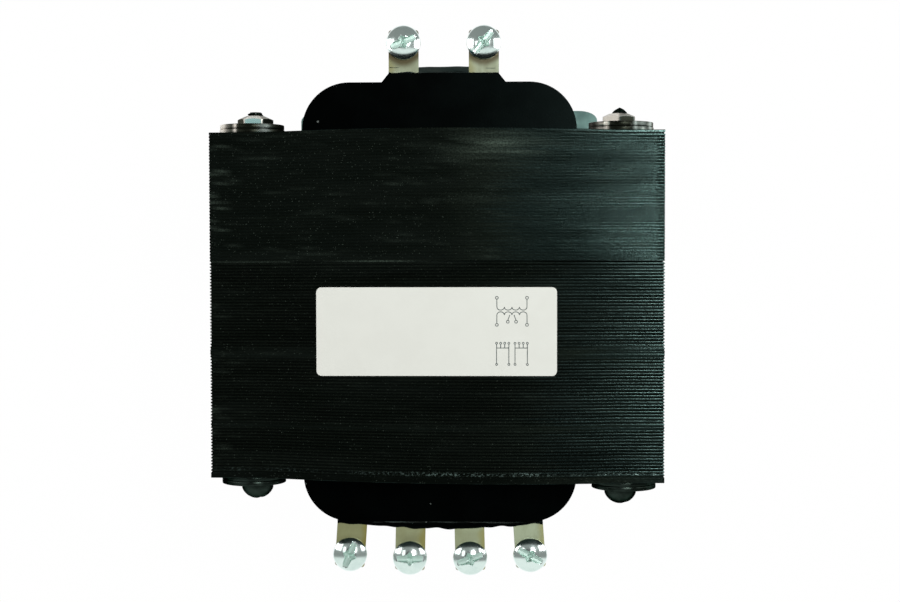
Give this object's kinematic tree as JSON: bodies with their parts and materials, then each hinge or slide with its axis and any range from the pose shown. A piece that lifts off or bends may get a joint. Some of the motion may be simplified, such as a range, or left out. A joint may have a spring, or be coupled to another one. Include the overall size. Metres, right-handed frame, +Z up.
{
  "type": "control transformer",
  "caption": "Open core-and-coil control transformer: laminated E-I core, coil on a bobbin, screw terminals at both ends, slotted mounting feet.",
  "frame": {"origin": "on the floor, at the middle of the four foot slots, under the middle of the core", "axes": "+X across the core to the right seen from the four-terminal end, +Y along the stack towards the two-terminal end, +Z up the centre leg"},
  "size_m": [0.1334, 0.169, 0.1133],
  "materials": {
    "core": "black varnish over stacked lamination edges",
    "bobbin": "satin black moulding",
    "winding": "enamelled copper wire",
    "insulation": "varnished paper",
    "coil_wrap": "black varnished tape",
    "backing": "black varnished fibre",
    "terminal_tabs": "tinned, a little yellowed",
    "terminal_screws": "bright zinc plate",
    "painted_bolts": "steel under black varnish",
    "plated_nuts": "zinc plate with traces of varnish",
    "feet": "zinc plate",
    "label": "white printed film, bare"
  },
  "bodies": {
    "root": {"core_e_stack": "core", "core_i_stack": "core", "bobbin": "bobbin", "inner_winding": "winding", "layer_insulation": "insulation", "outer_winding": "winding", "coil_wrap": "coil_wrap", "x_terminal_backing": "backing", "h_terminal_backing": "backing", "terminal_tab_x1": "terminal_tabs", "terminal_tab_x2": "terminal_tabs", "terminal_tab_h1": "terminal_tabs", "terminal_tab_h2": "terminal_tabs", "terminal_tab_h3": "terminal_tabs", "terminal_tab_h4": "terminal_tabs", "terminal_screw_x1": "terminal_screws", "terminal_screw_x2": "terminal_screws", "terminal_screw_h1": "terminal_screws", "terminal_screw_h2": "terminal_screws", "terminal_screw_h3": "terminal_screws", "terminal_screw_h4": "terminal_screws", "clamp_bolt_upper_left": "painted_bolts", "clamp_bolt_upper_right": "painted_bolts", "clamp_bolt_lower_left": "painted_bolts", "clamp_bolt_lower_right": "painted_bolts", "clamp_nut_upper_left": "plated_nuts", "clamp_nut_upper_right": "plated_nuts", "clamp_nut_lower_left": "plated_nuts", "clamp_nut_lower_right": "plated_nuts", "head_washer_upper_left": "painted_bolts", "head_washer_upper_right": "painted_bolts", "head_washer_lower_left": "painted_bolts", "head_washer_lower_right": "painted_bolts", "nut_washer_upper_left": "plated_nuts", "nut_washer_upper_right": "plated_nuts", "nut_washer_lower_left": "plated_nuts", "nut_washer_lower_right": "plated_nuts", "front_foot": "feet", "rear_foot": "feet", "rating_label": "label"}
  },
  "joints": []
}
